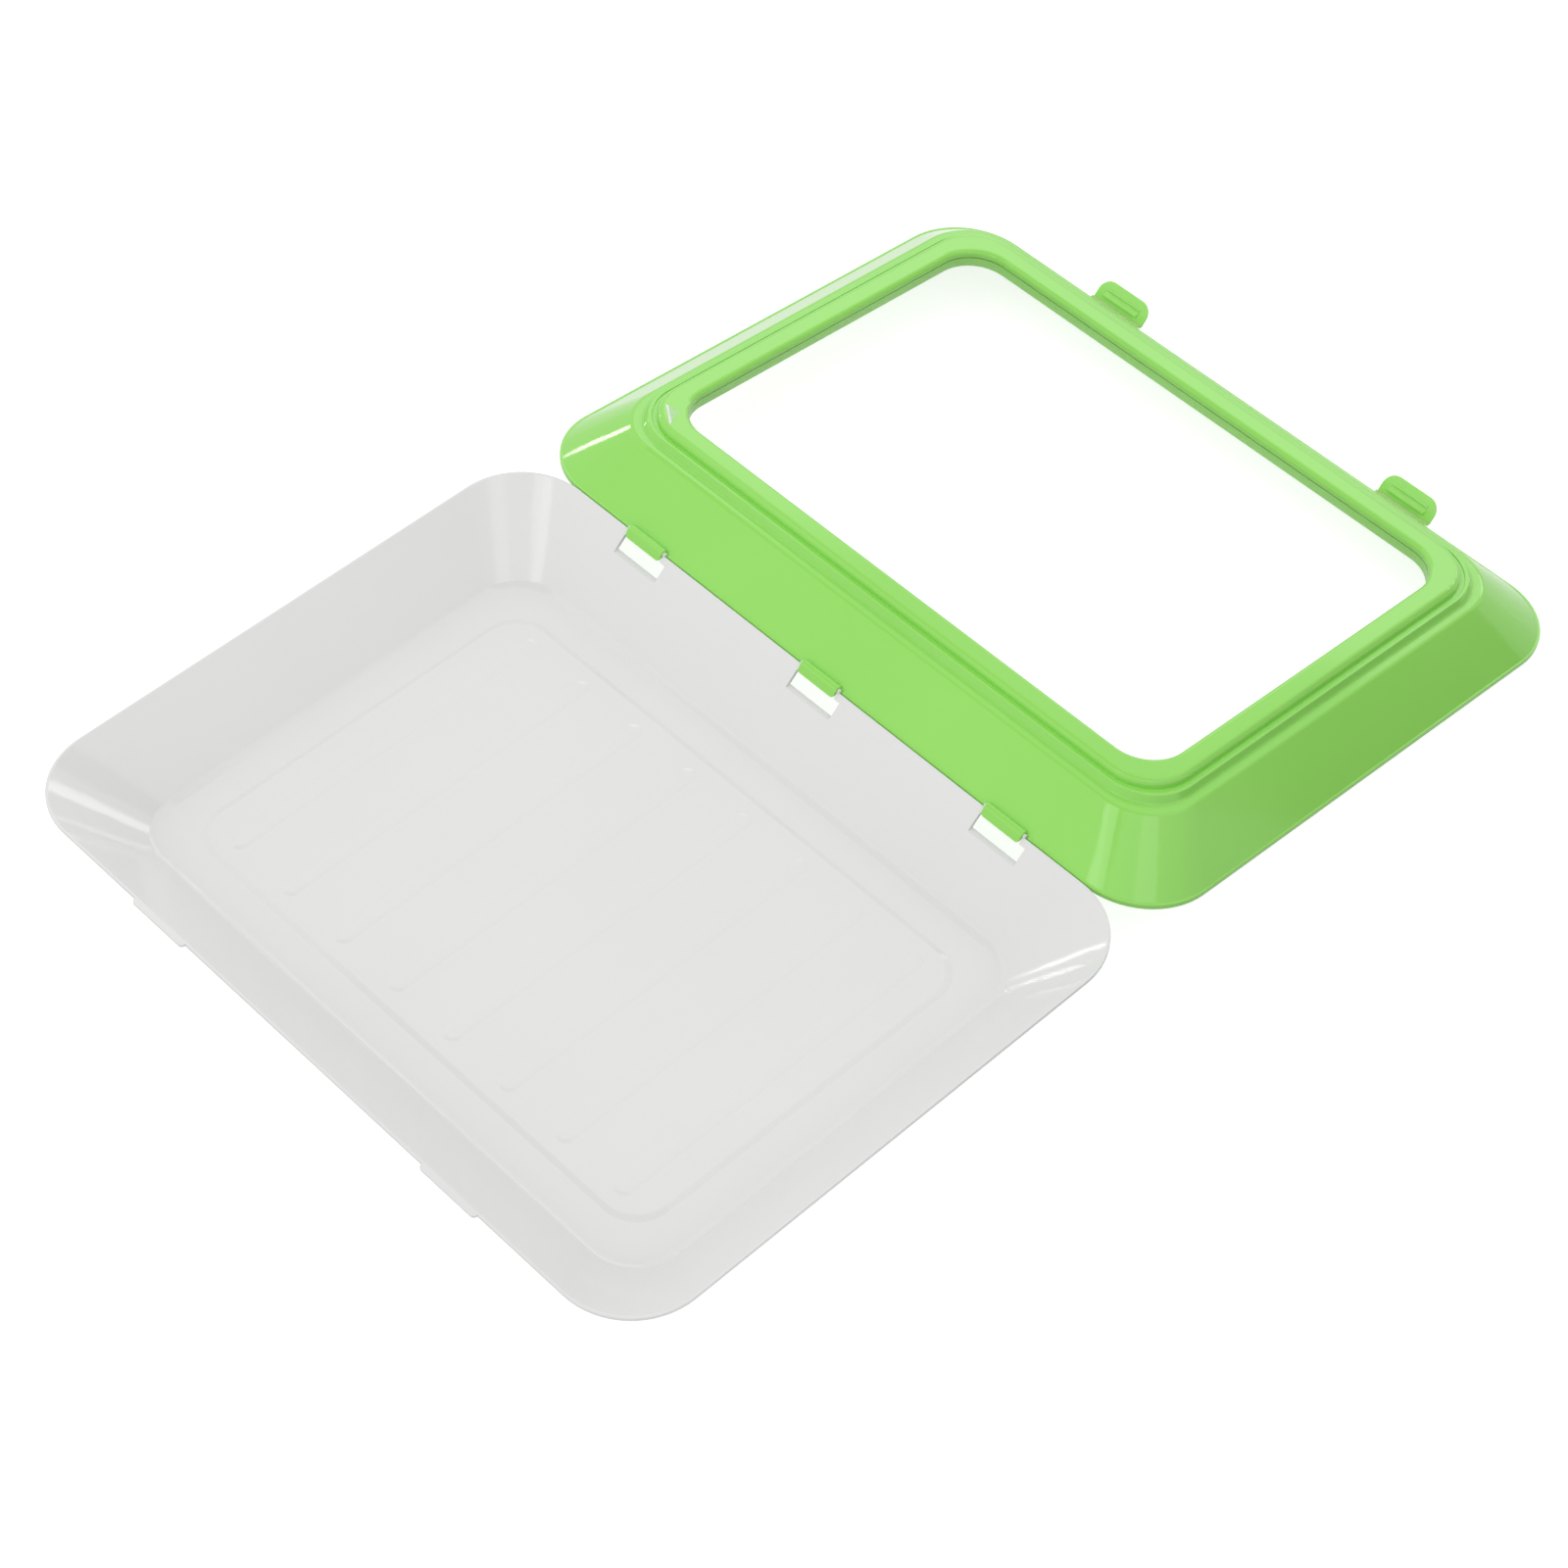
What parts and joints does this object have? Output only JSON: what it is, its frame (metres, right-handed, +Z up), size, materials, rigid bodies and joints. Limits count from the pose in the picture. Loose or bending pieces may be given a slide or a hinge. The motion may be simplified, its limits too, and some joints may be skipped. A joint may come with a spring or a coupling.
{
  "type": "storage box with hinged stretch-film lid",
  "caption": "Shallow rectangular storage tray with a hinged lid frame that holds a clear stretch film over the food and shuts with snap flaps.",
  "frame": {"origin": "centre of the tray's underside, on the surface that the tray stands on", "axes": "+Z up, +X along the hinge, +Y from the tray towards the opened lid"},
  "size_m": [0.31, 0.48, 0.047],
  "materials": {
    "white_plastic": "smooth moulded polypropylene",
    "green_plastic": "smooth moulded polypropylene",
    "clear_film": "clear stretched film"
  },
  "bodies": {
    "tray": {"tray": "white_plastic"},
    "lid": {"lid_frame": "green_plastic", "film_ring": "green_plastic", "stretch_film": "clear_film"},
    "latch_left": {"latch_left": "green_plastic"},
    "latch_right": {"latch_right": "green_plastic"}
  },
  "joints": [
    {"name": "lid_hinge", "type": "hinge", "parent": "tray", "child": "lid", "pos_m": [0, 0.1178, 0.02647], "axis": [1, 0, 0], "range_deg": [0, 185.98]},
    {"name": "latch_left_fold", "type": "hinge", "parent": "lid", "child": "latch_left", "pos_m": [-0.073, 0.35266, 0.0013], "axis": [1, 0, 0], "range_deg": [0, 38], "stiffness_Nm_per_rad": 0.004},
    {"name": "latch_right_fold", "type": "hinge", "parent": "lid", "child": "latch_right", "pos_m": [0.073, 0.35266, 0.0013], "axis": [1, 0, 0], "range_deg": [0, 38], "stiffness_Nm_per_rad": 0.004}
  ]
}
